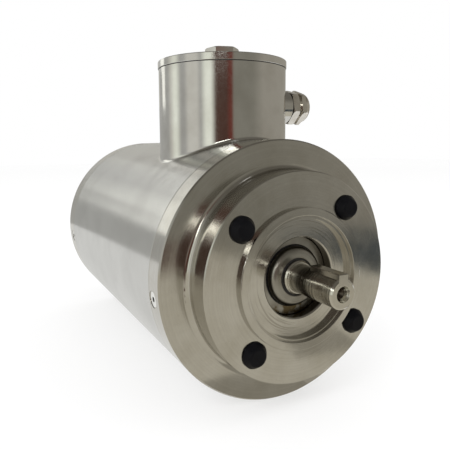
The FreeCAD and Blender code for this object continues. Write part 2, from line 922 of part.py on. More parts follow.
def cage_ring(x_core, outward):
    outer = rotor_radius - rotor_bridge
    inner = outer - cage_ring_wall
    tip = x_core + outward * cage_ring_length
    return turned([
        (x_core, inner),
        (tip, inner, cage_ring_rounding),
        (tip, outer, cage_ring_rounding),
        (x_core, outer),
    ])


def rotor_cage():
    """Cast cage: one bar in every slot and a ring at each end."""
    bar = prism(rotor_bar_points(), core_rear_x, core_front_x)
    front = cage_ring(core_front_x, 1)
    rear = cage_ring(core_rear_x, -1)
    return front.fuse([rear] + around(bar, rotor_slots))


# Terminal box

def barrel_body(extra=0.0):
    return ring(rear_joint_x, front_joint_x, 0, rim_radius + extra)


def gland_hole(radius, y_low, y_high):
    return sideways(ring(y_low, y_high, 0, radius), box_x, gland_height)


def terminal_box_wall():
    """Round wall with its gland hole and the fillet weld that joins its foot to the barrel."""
    top = box_rim_height - gasket_thickness
    barrel = barrel_body()
    column = upright(ring(0, top, 0, box_radius), box_x)
    joined = barrel.fuse(column)
    foot = [edge for edge in joined.Edges if on_foot(edge)]
    welded = joined.makeFillet(weld_leg, foot)
    inside = upright(ring(0, top + overrun, 0, box_bore_radius), box_x)
    hole = gland_hole(gland_thread_diameter / 2, 0, box_radius + box_wall)
    return welded.cut([barrel, inside, hole])


def on_foot(edge):
    """True for the edges where the box's outside meets the barrel's outside."""
    first, last = edge.ParameterRange
    for share in (0.1, 0.4, 0.7):
        point = edge.valueAt(first + (last - first) * share)
        off_barrel = abs(math.hypot(point.y, point.z) - rim_radius)
        off_box = abs(math.hypot(point.x - box_x, point.y) - box_radius)
        if off_barrel > touching or off_box > touching or point.z < 0:
            return False
    return True


def lid_gasket():
    low = box_rim_height - gasket_thickness
    return upright(ring(low, box_rim_height, box_radius - gasket_width, box_radius), box_x)


def terminal_box_lid():
    bottom = box_rim_height
    top = bottom + lid_thickness
    spigot = box_bore_radius - lid_thread_play
    plate = upright(turned([
        (bottom + lid_hollow_depth, 0),
        (bottom + lid_hollow_depth, spigot - lid_spigot_wall, lid_hollow_depth),
        (bottom - lid_spigot_depth, spigot - lid_spigot_wall),
        (bottom - lid_spigot_depth, spigot - lid_edge_break),
        (bottom - lid_spigot_depth + lid_edge_break, spigot),
        (bottom, spigot),
        (bottom, box_radius + lid_overhang, lid_lower_break),
        (top, box_radius + lid_overhang, lid_edge_break),
        (top, 0),
    ]), box_x)
    boss_top = top + lid_hexagon_height
    corner = lid_hexagon_flats / math.sqrt(3)
    crown = turned([
        (top, 0),
        (top, corner),
        (boss_top - lid_hexagon_break, corner),
        (boss_top, corner - lid_hexagon_break),
        (boss_top, 0),
    ])
    blank = hexagon(lid_hexagon_flats, top, boss_top, lid_hexagon_turn)
    boss = upright(blank.common(crown), box_x)
    return plate.fuse(boss)


# Terminal block

def block_x():
    return box_x - block_offset


def stud_places():
    """(x, y, row) of each stud; row 0 is nearer the flange."""
    places = []
    for row in range(2):
        x = block_x() + stud_row_pitch * (0.5 - row)
        for column in range(stud_columns):
            places.append((x, stud_spacing * (column - (stud_columns - 1) / 2), row))
    return places


def block_top():
    return block_base_height + block_height


def block_screw_places():
    along = block_length / 2 - block_screw_inset
    across = block_width / 2 - block_screw_inset
    return [(block_x() - along, -across), (block_x() + along, across)]


def rod_up(radius, x, y, z_low, z_high):
    return Part.makeCylinder(radius, z_high - z_low, FreeCAD.Vector(x, y, z_low))


def terminal_block():
    corner = FreeCAD.Vector(block_x() - block_length / 2, -block_width / 2, block_base_height)
    body = Part.makeBox(block_length, block_width, block_height, corner)
    upright_edges = [e for e in body.Edges if e.BoundBox.ZLength > block_height - touching]
    body = body.makeFillet(block_corner_radius, upright_edges)
    above = block_top() + overrun
    hole_radius = block_screw_diameter / 2 + hole_play
    cuts = []
    for x, y, row in stud_places():
        cuts.append(rod_up(stud_diameter / 2, x, y, block_top() - stud_embedding, above))
    for x, y in block_screw_places():
        cuts.append(rod_up(hole_radius, x, y, block_base_height - overrun, above))
        cuts.append(countersink(x, y, countersink_play))
    return body.cut(cuts)


def countersink(x, y, play):
    """Cone under a flush screw head on the block's top."""
    head = block_screw_head / 2 + play
    depth = head - block_screw_diameter / 2
    return Part.makeCone(
        block_screw_diameter / 2, head, depth, FreeCAD.Vector(x, y, block_top() - depth))


def block_posts():
    posts = []
    for x, y in block_screw_places():
        post = rod_up(post_diameter / 2, x, y, rim_radius - post_foot_depth, block_base_height)
        thread_foot = block_base_height - block_thread_depth
        thread = rod_up(block_screw_diameter / 2, x, y, thread_foot, block_base_height + overrun)
        posts.append(post.cut([barrel_body(), thread]))
    return group(posts)


def block_screws():
    screws = []
    for x, y in block_screw_places():
        head_foot = block_top() - (block_screw_head - block_screw_diameter) / 2
        shank = rod_up(block_screw_diameter / 2, x, y, block_base_height - block_screw_reach, head_foot)
        screw = shank.fuse(countersink(x, y, 0))
        corner = FreeCAD.Vector(
            x - block_screw_head, y - screw_slot_width / 2, block_top() - screw_slot_depth)
        slot = Part.makeBox(
            block_screw_head * 2, screw_slot_width, screw_slot_depth + overrun, corner)
        screws.append(screw.cut(slot).removeSplitter())
    return group(screws)


def terminal_studs():
    return group([rod_up(stud_diameter / 2, x, y, block_top() - stud_embedding, block_top() + stud_rise)
                  for x, y, row in stud_places()])


def terminal_nuts():
    low = block_top() + lug_thickness + link_thickness
    nuts = []
    for x, y, row in stud_places():
        nut = upright(hexagon(nut_flats, low, low + nut_height), x, y)
        nuts.append(nut.cut(rod_up(stud_diameter / 2, x, y, low - overrun, low + nut_height + overrun)))
    return group(nuts)


def stud_hole(x, y, low, high):
    """Cutter for a hole that a stud passes through."""
    return rod_up(stud_diameter / 2 + slide_play, x, y, low - overrun, high + overrun)


def terminal_links():
    """Flat links that join the two rows stud by stud."""
    low = block_top() + lug_thickness
    front = [place for place in stud_places() if place[2] == 0]
    links = []
    for x, y, row in front:
        bar = Part.makeBox(stud_row_pitch, link_width, link_thickness,
                           FreeCAD.Vector(x - stud_row_pitch, y - link_width / 2, low))
        ends = [rod_up(link_width / 2, x - stud_row_pitch * side, y, low, low + link_thickness)
                for side in (0, 1)]
        holes = [stud_hole(x - stud_row_pitch * side, y, low, low + link_thickness) for side in (0, 1)]
        links.append(bar.fuse(ends).cut(holes).removeSplitter())
    return group(links)


def lug_reach(row):
    """From a stud to its lead's end: straight ahead, or aslant into the channel beside the front row."""
    if row == 0:
        return FreeCAD.Vector(lug_crimp_distance, 0, 0)
    return FreeCAD.Vector(slant_lug_reach, stud_spacing / 2, 0)


def lead_lugs():
    """Ring terminals: an eye under the nut and a tongue under the lead's end."""
    lugs = []
    low = block_top()
    for x, y, row in stud_places():
        reach = lug_reach(row)
        away = FreeCAD.Vector(reach).normalize()
        side = FreeCAD.Vector(-away.y, away.x, 0) * (lead_diameter / 2)
        foot = FreeCAD.Vector(x, y, low)
        tip = foot + reach + away * lug_crimp_length
        corners = [foot - side, tip - side, tip + side, foot + side]
        flat = Part.Face(Part.makePolygon(corners + corners[:1]))
        tongue = flat.extrude(FreeCAD.Vector(0, 0, lug_thickness))
        eye = rod_up(lug_eye_diameter / 2, x, y, low, low + lug_thickness)
        hole = stud_hole(x, y, low, low + lug_thickness)
        lugs.append(eye.fuse(tongue).cut(hole).removeSplitter())
    return group(lugs)


def lead_route(x, y, row):
    """Corner points of one lead, from the winding up through the tube's hole to its lug."""
    column = round(y / stud_spacing + (stud_columns - 1) / 2)
    order = 2 * column + row - (stud_columns - 0.5)
    level = block_top() + lug_thickness + lead_diameter / 2
    end = FreeCAD.Vector(x, y, level) + lug_reach(row)
    foot = FreeCAD.Vector(lead_hole_x, order * lead_spacing, end_winding_outer - lead_embedding)
    points = [foot, FreeCAD.Vector(foot.x, foot.y, level)]
    if row == 1:
        points.append(FreeCAD.Vector(x + lead_channel_length, end.y, level))
    return points + [end]


def round_lead(points):
    path = outline([(point, lead_bend_radius) for point in points], closed=False)
    circle = Part.makeCircle(lead_diameter / 2, points[0], FreeCAD.Vector(0, 0, 1))
    return path.makePipeShell([Part.Wire(circle)], True, True)


def winding_leads():
    return group([round_lead(lead_route(*place)) for place in stud_places()])


def earth_place():
    """Earth point on the barrel, beside the lead hole inside the box."""
    return (box_x, -(box_bore_radius - earth_head_diameter / 2 - earth_clearance))


def earth_boss():
    x, y = earth_place()
    surface = math.sqrt(rim_radius ** 2 - y ** 2)
    post = rod_up(earth_head_diameter / 2, x, y, rim_radius - post_foot_depth, surface + earth_boss_height)
    top = surface + earth_boss_height
    thread = rod_up(earth_screw_diameter / 2, x, y, top - earth_thread_length, top + overrun)
    return post.cut([barrel_body(), thread])


def earth_washer():
    x, y = earth_place()
    low = math.sqrt(rim_radius ** 2 - y ** 2) + earth_boss_height
    high = low + earth_washer_thickness
    disc = rod_up(earth_head_diameter / 2 + earth_washer_overhang, x, y, low, high)
    return disc.cut(rod_up(earth_screw_diameter / 2 + hole_play, x, y, low - overrun, high + overrun))


def earth_screw():
    x, y = earth_place()
    low = math.sqrt(rim_radius ** 2 - y ** 2) + earth_boss_height + earth_washer_thickness
    head = rod_up(earth_head_diameter / 2, x, y, low, low + earth_head_height)
    shank = rod_up(earth_screw_diameter / 2, x, y, low - earth_washer_thickness - earth_thread_length, low)
    corner = FreeCAD.Vector(
        x - earth_head_diameter, y - earth_slot_width / 2, low + earth_head_height - earth_slot_depth)
    slot = Part.makeBox(earth_head_diameter * 2, earth_slot_width, earth_slot_depth + overrun, corner)
    return head.fuse(shank).removeSplitter().cut(slot)


# Cable gland, built along +X and then turned to +Y

def gland_face_y():
    """Outer end of the welded collar, where the gland's washer seats."""
    return box_radius + gland_collar_length


def place_gland(shape):
    return sideways(shape, box_x, gland_height)


def gland_nut_foot_y():
    """Where the dome nut starts, past the washer, the body's hexagon and its neck."""
    return gland_face_y() + gland_washer_thickness + gland_hexagon_length + gland_neck_length


def gland_collar():
    face = gland_face_y()
    sleeve = place_gland(turned([
        (box_radius - box_wall * 2, gland_thread_diameter / 2),
        (face, gland_thread_diameter / 2),
        (face, gland_collar_diameter / 2, gland_hexagon_break / 2),
        (box_radius - box_wall * 2, gland_collar_diameter / 2),
    ]))
    column = upright(ring(0, box_rim_height, 0, box_radius), box_x)
    return sleeve.cut(column)


def gland_washer():
    low = gland_face_y()
    return place_gland(ring(low, low + gland_washer_thickness, gland_thread_diameter / 2,
                            gland_collar_diameter / 2 - gland_washer_inset))


def gland_body():
    seat = gland_face_y() + gland_washer_thickness
    hexagon_end = seat + gland_hexagon_length
    neck_end = gland_nut_foot_y()
    tip = neck_end + gland_nut_overlap
    thread_start = box_bore_radius - gland_inner_length
    corner = gland_flats / math.sqrt(3)
    bore = gland_bore_diameter / 2
    thread = gland_thread_diameter / 2
    crown = turned([
        (seat, 0),
        (seat, corner - gland_hexagon_break),
        (seat + gland_hexagon_break, corner),
        (hexagon_end - gland_hexagon_break, corner),
        (hexagon_end, corner - gland_hexagon_break),
        (hexagon_end, 0),
    ])
    blank = hexagon(gland_flats, seat, hexagon_end, gland_hexagon_turn)
    stem = turned([
        (thread_start, bore),
        (thread_start, thread - gland_hexagon_break),
        (thread_start + gland_hexagon_break, thread),
        (seat, thread),
        (seat, gland_neck_diameter / 2),
        (neck_end, gland_neck_diameter / 2),
        (neck_end, thread - gland_thread_play),
        (tip, thread - gland_thread_play),
        (tip, bore + gland_sleeve_wall),
        (neck_end, bore + gland_sleeve_wall),
        (neck_end, bore),
    ])
    drilled = blank.common(crown).cut(ring(seat - overrun, hexagon_end + overrun, 0, bore))
    return place_gland(drilled.fuse(stem))


def gland_seal():
    """Rubber sleeve squeezed between the body and the dome nut."""
    neck_end = gland_nut_foot_y()
    end = neck_end + gland_nut_length - gland_lip
    return place_gland(ring(neck_end, end, gland_seal_bore / 2, gland_bore_diameter / 2 + gland_sleeve_wall))


def gland_dome_nut():
    low = gland_nut_foot_y()
    high = low + gland_nut_length
    corner = gland_nut_flats / math.sqrt(3)
    dome = gland_nut_flats / 2 - gland_thread_play
    hexagon_end = low + gland_nut_hexagon
    mouth = gland_seal_bore / 2
    seal_outer = gland_bore_diameter / 2 + gland_sleeve_wall
    blank = turned([
        (low, 0),
        (low, corner - gland_hexagon_break),
        (low + gland_hexagon_break, corner),
        (hexagon_end, corner),
        (hexagon_end + (corner - dome) / 2, dome),
        (high, dome, gland_nut_rounding),
        (high, mouth + gland_mouth_wall),
        (high - gland_mouth_wall, mouth),
        (high - gland_mouth_wall, 0),
    ])
    faceted = hexagon(gland_nut_flats, low, high, gland_nut_turn).common(blank)
    bore = turned([
        (low - overrun, 0),
        (low - overrun, gland_thread_diameter / 2 - gland_thread_play),
        (low + gland_nut_overlap + gland_thread_play, gland_thread_diameter / 2 - gland_thread_play),
        (low + gland_nut_overlap + gland_thread_play * 2, seal_outer),
        (high - gland_lip, seal_outer),
        (high - gland_lip, mouth),
        (high + overrun, mouth),
        (high + overrun, 0),
    ])
    return place_gland(faceted.cut(bore))


def main():
    os.makedirs("parts", exist_ok=True)
    save("mounting_flange", mounting_flange())
    save("front_shield", front_shield())
    save("rear_shield", rear_shield())
    save("housing_tube", housing_tube())
    save("end_rings", end_rings())
    save("shield_o_rings", shield_o_rings())
    save("shield_screws", shield_screws())
    save("flange_plugs", flange_plugs())
    save("shaft", shaft())
    save("shaft_key", shaft_key())
    save("slinger_case", slinger_case())
    save("slinger_hub", slinger_hub())
    save("seal_case", seal_case())
    save("seal_lip", seal_lip())
    save("garter_spring", garter_spring())
    for end, x in (("front", front_bearing_x), ("rear", rear_bearing_x)):
        save(end + "_outer_race", outer_race(x))
        save(end + "_inner_race", inner_race(x))
        save(end + "_bearing_balls", bearing_balls(x))
        save(end + "_bearing_cage", bearing_cage(x))
        save(end + "_side_shields", side_shields(x))
    save("bearing_retaining_ring", bearing_retaining_ring())
    save("wave_spring", wave_spring())
    save("stator_core", stator_core())
    save("slot_wedges", slot_wedges())
    save("stator_winding", stator_winding())
    save("rotor_core", rotor_core())
    save("rotor_cage", rotor_cage())
    save("terminal_box_wall", terminal_box_wall())
    save("lid_gasket", lid_gasket())
    save("terminal_box_lid", terminal_box_lid())
    save("block_posts", block_posts())
    save("terminal_block", terminal_block())
    save("block_screws", block_screws())
    save("terminal_studs", terminal_studs())
    save("terminal_nuts", terminal_nuts())
    save("terminal_links", terminal_links())
    save("lead_lugs", lead_lugs())
    save("winding_leads", winding_leads())
    save("earth_boss", earth_boss())
    save("earth_washer", earth_washer())
    save("earth_screw", earth_screw())
    save("gland_collar", gland_collar())
    save("gland_washer", gland_washer())
    save("gland_body", gland_body())
    save("gland_seal", gland_seal())
    save("gland_dome_nut", gland_dome_nut())


main()
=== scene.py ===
"""Looks of the flange-mounted motor: its materials, the thread in the shaft's centre hole, a plain
studio and the photograph's camera. Lengths are in metres, along the frame's own axes."""
import json
import math

import bpy
from mathutils import Matrix, Vector


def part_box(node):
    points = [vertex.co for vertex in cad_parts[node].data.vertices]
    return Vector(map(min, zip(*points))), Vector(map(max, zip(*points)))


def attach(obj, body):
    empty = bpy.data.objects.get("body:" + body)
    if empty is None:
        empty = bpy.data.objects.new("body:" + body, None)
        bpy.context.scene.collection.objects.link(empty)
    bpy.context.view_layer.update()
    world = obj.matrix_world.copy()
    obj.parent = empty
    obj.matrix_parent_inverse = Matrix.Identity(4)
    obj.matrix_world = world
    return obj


MM = 0.001
MICRON = 0.001 * MM

# The photograph's camera, fitted to the flange, the rims and the terminal box
IMAGE_SIZE = 450
FOCAL_PIXELS = 487.4
PRINCIPAL_ROW = 200
CAMERA_PLACE = Vector((187.3, -139.7, 63.5)) * MM
CAMERA_AZIMUTH = math.radians(62.352)
CAMERA_ELEVATION = math.radians(-6.166)
CAMERA_ROLL = math.radians(0.382)
SENSOR_WIDTH = 36.0
NEAR_LIMIT = 0.01

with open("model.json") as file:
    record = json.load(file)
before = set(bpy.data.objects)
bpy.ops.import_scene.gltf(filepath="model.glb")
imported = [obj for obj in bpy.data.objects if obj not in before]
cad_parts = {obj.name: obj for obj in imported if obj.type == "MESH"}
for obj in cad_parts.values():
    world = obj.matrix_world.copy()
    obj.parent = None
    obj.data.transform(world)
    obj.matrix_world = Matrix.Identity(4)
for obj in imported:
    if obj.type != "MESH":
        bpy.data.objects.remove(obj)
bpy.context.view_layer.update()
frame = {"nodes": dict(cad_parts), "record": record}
nodes = frame["nodes"]


# Shader node helpers

def rgb(red, green, blue):
    return (red, green, blue, 1.0)


def new_material(name):
    material = bpy.data.materials.new(name)
    material.use_nodes = True
    tree = material.node_tree
    return material, tree, tree.nodes["Principled BSDF"]


def add(tree, kind, **settings):
    made = tree.nodes.new(kind)
    for key, value in settings.items():
        setattr(made, key, value)
    return made


def plug(tree, source, target):
    """Links an output to an input, or sets the input to a plain value."""
    if isinstance(source, bpy.types.NodeSocket):
        tree.links.new(source, target)
    else:
        target.default_value = source


def maths(tree, operation, first, second):
    made = add(tree, "ShaderNodeMath", operation=operation)
    plug(tree, first, made.inputs[0])
    plug(tree, second, made.inputs[1])
    return made.outputs[0]


def vector_maths(tree, operation, first, second=None):
    made = add(tree, "ShaderNodeVectorMath", operation=operation)
    plug(tree, first, made.inputs[0])
    if second is not None:
        plug(tree, second, made.inputs[1])
    return made.outputs["Value" if operation == "LENGTH" else "Vector"]


def surface_point(tree):
    """The point on the surface, in the frame's axes."""
    return add(tree, "ShaderNodeTexCoord").outputs["Object"]


def along(tree, point, axis):
    made = add(tree, "ShaderNodeSeparateXYZ")
    plug(tree, point, made.inputs[0])
    return made.outputs[axis]


def shaft_radius(tree, point):
    """Distance from the shaft's axis."""
    return vector_maths(tree, "LENGTH", vector_maths(tree, "MULTIPLY", point, (0.0, 1.0, 1.0)))


def noise(tree, vector, scale, detail=3.0, roughness=0.5, distortion=0.0):
    made = add(tree, "ShaderNodeTexNoise")
    made.inputs["Scale"].default_value = scale
    made.inputs["Detail"].default_value = detail
    made.inputs["Roughness"].default_value = roughness
    made.inputs["Distortion"].default_value = distortion
    plug(tree, vector, made.inputs["Vector"])
    return made.outputs["Fac"]


def line_noise(tree, value, scale, detail):
    """Noise along one number, such as a radius, so that it makes rings or bands."""
    made = add(tree, "ShaderNodeTexNoise", noise_dimensions="1D")
    made.inputs["Scale"].default_value = scale
    made.inputs["Detail"].default_value = detail
    plug(tree, value, made.inputs["W"])
    return made.outputs["Fac"]


def remap(tree, value, span, target, smooth=False):
    """Carries a span of values over to a target span, and holds its ends."""
    made = add(tree, "ShaderNodeMapRange", interpolation_type="SMOOTHSTEP" if smooth else "LINEAR")
    plug(tree, value, made.inputs["Value"])
    made.inputs["From Min"].default_value, made.inputs["From Max"].default_value = span
    made.inputs["To Min"].default_value, made.inputs["To Max"].default_value = target
    return made.outputs["Result"]


def share(tree, value, start, full, most=1.0, smooth=False):
    """Share that grows from nothing at the start value to the most at the full value."""
    return remap(tree, value, (start, full), (0.0, most), smooth)


def mix_colour(tree, factor, first, second, blend="MIX"):
    made = add(tree, "ShaderNodeMix", data_type="RGBA", blend_type=blend)
    plug(tree, factor, made.inputs["Factor"])
    plug(tree, first, made.inputs["A"])
    plug(tree, second, made.inputs["B"])
    return made.outputs["Result"]


def bump(tree, height, distance):
    made = add(tree, "ShaderNodeBump")
    made.inputs["Strength"].default_value = 1.0
    made.inputs["Distance"].default_value = distance
    plug(tree, height, made.inputs["Height"])
    return made.outputs["Normal"]


# Material helpers

# Spans of values that noise mostly fills, and those at which clouds and blooms of it set in
WIDE_NOISE = (0.25, 0.75)
MOST_NOISE = (0.3, 0.7)
CLOUD = (0.35, 0.7)
BLOOM = (0.4, 0.7)
SMEAR = (0.4, 0.75)

# Turn of the shiny streak, as a share of a full turn, that lays brush lines round the axis
BRUSH_TURN = 0.25


def metal(name, colour, roughness):
    """Bare metal. Most finishes then vary this colour and roughness over the surface."""
    material, tree, shader = new_material(name)
    shader.inputs["Metallic"].default_value = 1.0
    shader.inputs["Base Color"].default_value = colour
    shader.inputs["Roughness"].default_value = roughness
    return material, tree, shader


def brush_round(tree, shader, strength):
    """Stretches highlights across brush lines that run round the shaft's axis."""
    shader.inputs["Anisotropic"].default_value = strength
    shader.inputs["Anisotropic Rotation"].default_value = BRUSH_TURN
    tangent = add(tree, "ShaderNodeTangent", direction_type="RADIAL", axis="X")
    plug(tree, tangent.outputs[0], shader.inputs["Tangent"])


def heavier(tree, main, extra, weight):
    """A height with a second one added to it at its own weight."""
    return maths(tree, "ADD", main, maths(tree, "MULTIPLY", extra, weight))


# Turned steel

TURNED_LIGHT = rgb(0.60, 0.585, 0.55)
TURNED_DARK = rgb(0.52, 0.50, 0.455)
TURNED_SPOT = rgb(0.30, 0.26, 0.20)
TURNED_MARK = rgb(0.24, 0.22, 0.18)
TURNED_ROUGHNESS = (0.11, 0.16)
TURNED_BRUSH = 0.4
RING_TONES = (0.975, 1.02)
RING_WEIGHT = 2.5
ARCS_PER_METRE = 1300.0

# The pilot recess, where turning marks show most
RECESS_RADIUS = 31.0 * MM
RECESS_FADE = 2.0 * MM

# The seal's seat, darkened inside with painted shade
SEAT_PAINTED_SHADE = rgb(0.07, 0.06, 0.045)
SEAT_RADIUS = 24.0 * MM
SEAT_FADE = 0.5 * MM
SEAT_START = -1.9 * MM
SEAT_FULL = SEAT_START - 1.2 * MM

# Marks and the seat's painted shade end here along the shaft, so that the rear shield stays plain
FRONT_END = -60.0 * MM
FRONT_FADE = 10.0 * MM


def ring_arcs(tree, point, radius):
    """Noise drawn out round the shaft's axis, so that it makes thin arcs that fade at their ends."""
    across = add(tree, "ShaderNodeCombineXYZ")
    plug(tree, maths(tree, "MULTIPLY", radius, ARCS_PER_METRE), across.inputs["X"])
    for axis in "YZ":
        plug(tree, maths(tree, "DIVIDE", along(tree, point, axis), radius), across.inputs[axis])
    return noise(tree, across.outputs[0], scale=1.0, detail=3.0, roughness=0.55)


def recess_marks(tree, point, radius, front):
    """Share of dark turning marks, which the pilot recess alone shows."""
    recess = share(tree, radius, RECESS_RADIUS + RECESS_FADE, RECESS_RADIUS)
    marks = share(tree, ring_arcs(tree, point, radius), start=0.56, full=0.68, most=0.5)
    return maths(tree, "MULTIPLY", marks, maths(tree, "MULTIPLY", recess, front))


def seat_painted_shade(tree, station, radius, front):
    """Share of painted shade, which grows from the mouth of the seal's seat inwards."""
    inside = share(tree, radius, SEAT_RADIUS, SEAT_RADIUS - SEAT_FADE)
    deep = share(tree, station, SEAT_START, SEAT_FULL, most=0.92)
    return maths(tree, "MULTIPLY", inside, maths(tree, "MULTIPLY", deep, front))


def turned_steel():
    """Lathe-turned stainless: fine rings round the shaft's axis, faint stains and handling marks."""
    material, tree, shader = metal("turned_steel", rgb(0.56, 0.54, 0.50), 0.14)
    point = surface_point(tree)
    radius = shaft_radius(tree, point)
    station = along(tree, point, "X")
    cut = maths(tree, "ADD", radius, station)
    fine = line_noise(tree, cut, scale=5200.0, detail=3.0)
    broad = line_noise(tree, cut, scale=900.0, detail=2.0)
    cloud = noise(tree, point, scale=55.0, detail=4.0, roughness=0.6)
    spots = noise(tree, point, scale=260.0, detail=5.0, roughness=0.65)
    smear = noise(tree, point, scale=90.0)

    front = share(tree, station, FRONT_END, FRONT_END + FRONT_FADE)
    tint = mix_colour(tree, share(tree, cloud, *CLOUD), TURNED_LIGHT, TURNED_DARK)
    tint = mix_colour(tree, 1.0, tint, remap(tree, broad, MOST_NOISE, RING_TONES), "MULTIPLY")
    tint = mix_colour(tree, share(tree, spots, start=0.66, full=0.8, most=0.35), tint, TURNED_SPOT)
    tint = mix_colour(tree, recess_marks(tree, point, radius, front), tint, TURNED_MARK)
    # Painted shade darkens the inside of the seal's seat
    tint = mix_colour(tree, seat_painted_shade(tree, station, radius, front), tint, SEAT_PAINTED_SHADE)
    plug(tree, tint, shader.inputs["Base Color"])

    grain = remap(tree, fine, WIDE_NOISE, TURNED_ROUGHNESS)
    rough = maths(tree, "ADD", grain, share(tree, smear, *SMEAR, most=0.06))
    plug(tree, rough, shader.inputs["Roughness"])
    brush_round(tree, shader, TURNED_BRUSH)
    plug(tree, bump(tree, heavier(tree, fine, broad, RING_WEIGHT), 3 * MICRON), shader.inputs["Normal"])
    return material


# Satin steel

SATIN_LIGHT = rgb(0.655, 0.65, 0.635)
SATIN_DARK = rgb(0.585, 0.58, 0.565)
SATIN_MARK = rgb(0.45, 0.44, 0.42)
SATIN_ROUGHNESS = (0.17, 0.21)
SATIN_BRUSH = 0.75


def satin_steel():
    """The barrel: fine-brushed stainless with soft smudges."""
    material, tree, shader = metal("satin_steel", rgb(0.66, 0.655, 0.64), 0.26)
    point = surface_point(tree)
    fine = line_noise(tree, along(tree, point, "X"), scale=4200.0, detail=3.0)
    smudge = noise(tree, point, scale=22.0, detail=4.0, roughness=0.55, distortion=0.4)
    marks = noise(tree, point, scale=140.0, detail=4.0, roughness=0.6)
    tint = mix_colour(tree, share(tree, smudge, start=0.4, full=0.72), SATIN_LIGHT, SATIN_DARK)
    tint = mix_colour(tree, share(tree, marks, start=0.64, full=0.78, most=0.3), tint, SATIN_MARK)
    plug(tree, tint, shader.inputs["Base Color"])
    grain = remap(tree, fine, WIDE_NOISE, SATIN_ROUGHNESS)
    rough = maths(tree, "ADD", grain, share(tree, smudge, *SMEAR, most=0.05))
    plug(tree, rough, shader.inputs["Roughness"])
    brush_round(tree, shader, SATIN_BRUSH)
    plug(tree, bump(tree, fine, 6 * MICRON), shader.inputs["Normal"])
    return material


# Bright metals of the terminal box and the cable gland

POLISHED_LIGHT = rgb(0.72, 0.71, 0.685)
POLISHED_DARK = rgb(0.63, 0.615, 0.585)
POLISHED_ROUGHNESS = (0.09, 0.15)
PLATED_LIGHT = rgb(0.78, 0.75, 0.70)
PLATED_DARK = rgb(0.62, 0.58, 0.52)
PLATED_ROUGHNESS = (0.12, 0.24)


def polished_steel():
    """Bright stainless of the terminal box and trim: mirror-like with a slight waviness."""
    material, tree, shader = metal("polished_steel", rgb(0.70, 0.69, 0.665), 0.12)
    point = surface_point(tree)
    cloud = noise(tree, point, scale=70.0)
    tint = mix_colour(tree, share(tree, cloud, *BLOOM), POLISHED_LIGHT, POLISHED_DARK)
    plug(tree, tint, shader.inputs["Base Color"])
    fine = noise(tree, point, scale=900.0, detail=2.0)
    plug(tree, remap(tree, fine, MOST_NOISE, POLISHED_ROUGHNESS), shader.inputs["Roughness"])
    waves = noise(tree, point, scale=30.0, detail=2.0)
    plug(tree, bump(tree, waves, 80 * MICRON), shader.inputs["Normal"])
    return material


def plated_brass():
    """Nickel-plated gland: bright, slightly warm and softly clouded."""
    material, tree, shader = metal("plated_brass", rgb(0.74, 0.71, 0.66), 0.16)
    point = surface_point(tree)
    cloud = noise(tree, point, scale=160.0, detail=4.0)
    tint = mix_colour(tree, share(tree, cloud, *BLOOM), PLATED_LIGHT, PLATED_DARK)
    plug(tree, tint, shader.inputs["Base Color"])
    grain = noise(tree, point, scale=500.0)
    plug(tree, remap(tree, grain, MOST_NOISE, PLATED_ROUGHNESS), shader.inputs["Roughness"])
    pits = noise(tree, point, scale=700.0)
    plug(tree, bump(tree, pits, 3 * MICRON), shader.inputs["Normal"])
    return material


# Pressed steel

PRESSED_LIGHT = rgb(0.38, 0.37, 0.34)
PRESSED_DARK = rgb(0.28, 0.265, 0.235)
PRESSED_ROUGHNESS = (0.27, 0.32)

# Oil that has run down to the low side of the seal's case, outside the slinger
OIL_STAIN = rgb(0.10, 0.065, 0.015)
OIL_TOP = -12.5 * MM
OIL_FULL = -15.5 * MM
OIL_INNER = 15.2 * MM
OIL_OUTER = 15.8 * MM


def oil_stain(tree, point):
    """Share of oil, in patches."""
    low_side = share(tree, along(tree, point, "Z"), OIL_TOP, OIL_FULL, smooth=True)
    outside = share(tree, shaft_radius(tree, point), OIL_INNER, OIL_OUTER, smooth=True)
    spread = noise(tree, point, scale=230.0, detail=3.0, roughness=0.6)
    patches = share(tree, spread, start=0.42, full=0.56, most=0.85, smooth=True)
    return maths(tree, "MULTIPLY", maths(tree, "MULTIPLY", low_side, outside), patches)


def pressed_steel():
    """The slinger and the seal's case: dull pressed steel with a handled, oily bloom."""
    material, tree, shader = metal("pressed_steel", rgb(0.36, 0.35, 0.32), 0.26)
    point = surface_point(tree)
    cloud = noise(tree, point, scale=120.0, detail=4.0)
    tint = mix_colour(tree, share(tree, cloud, *BLOOM), PRESSED_LIGHT, PRESSED_DARK)
    plug(tree, mix_colour(tree, oil_stain(tree, point), tint, OIL_STAIN), shader.inputs["Base Color"])
    grain = noise(tree, point, scale=200.0)
    plug(tree, remap(tree, grain, MOST_NOISE, PRESSED_ROUGHNESS), shader.inputs["Roughness"])
    return material


# The shaft's steel

GROUND_LIGHT = rgb(0.60, 0.58, 0.53)
GROUND_DARK = rgb(0.50, 0.48, 0.43)
GROUND_ROUGHNESS = (0.10, 0.20)
GROUND_RING_WEIGHT = 6.0


def ground_steel():
    """The shaft: turned rings of about a millimetre that sparkle along the highlight."""
    material, tree, shader = metal("ground_steel", rgb(0.55, 0.53, 0.48), 0.15)
    point = surface_point(tree)
    station = along(tree, point, "X")
    rings = line_noise(tree, station, scale=900.0, detail=2.0)
    cut = maths(tree, "ADD", station, shaft_radius(tree, point))
    fine = line_noise(tree, cut, scale=6000.0, detail=2.0)
    tint = mix_colour(tree, share(tree, rings, start=0.35, full=0.65), GROUND_LIGHT, GROUND_DARK)
    plug(tree, tint, shader.inputs["Base Color"])
    plug(tree, remap(tree, fine, WIDE_NOISE, GROUND_ROUGHNESS), shader.inputs["Roughness"])
    height = heavier(tree, fine, rings, GROUND_RING_WEIGHT)
    plug(tree, bump(tree, height, 12 * MICRON), shader.inputs["Normal"])
    return material
